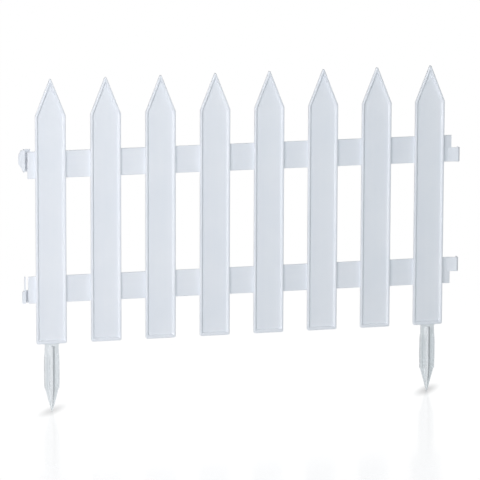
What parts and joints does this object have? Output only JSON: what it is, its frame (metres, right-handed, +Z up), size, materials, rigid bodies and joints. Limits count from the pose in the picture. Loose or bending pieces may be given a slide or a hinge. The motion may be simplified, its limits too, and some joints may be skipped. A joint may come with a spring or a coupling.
{
  "type": "garden fence",
  "caption": "White moulded garden border fence panel: pointed tray pickets on two flat rails, ground stakes under the end pickets, and hook and tab couplers at the rail ends.",
  "frame": {"origin": "ground line on the axis of the left stake, in the bottom face of the first picket", "axes": "+X along the panel to the next panel, +Y from the front to the back, +Z up"},
  "size_m": [0.611, 0.0188, 0.4516],
  "materials": {
    "white_plastic": "satin moulded polypropylene"
  },
  "bodies": {
    "root": {"picket_1": "white_plastic", "picket_2": "white_plastic", "picket_3": "white_plastic", "picket_4": "white_plastic", "picket_5": "white_plastic", "picket_6": "white_plastic", "picket_7": "white_plastic", "picket_8": "white_plastic", "bottom_rail": "white_plastic", "top_rail": "white_plastic", "bottom_hook": "white_plastic", "top_hook": "white_plastic", "bottom_tab": "white_plastic", "top_tab": "white_plastic", "left_stake": "white_plastic", "right_stake": "white_plastic"}
  },
  "joints": []
}
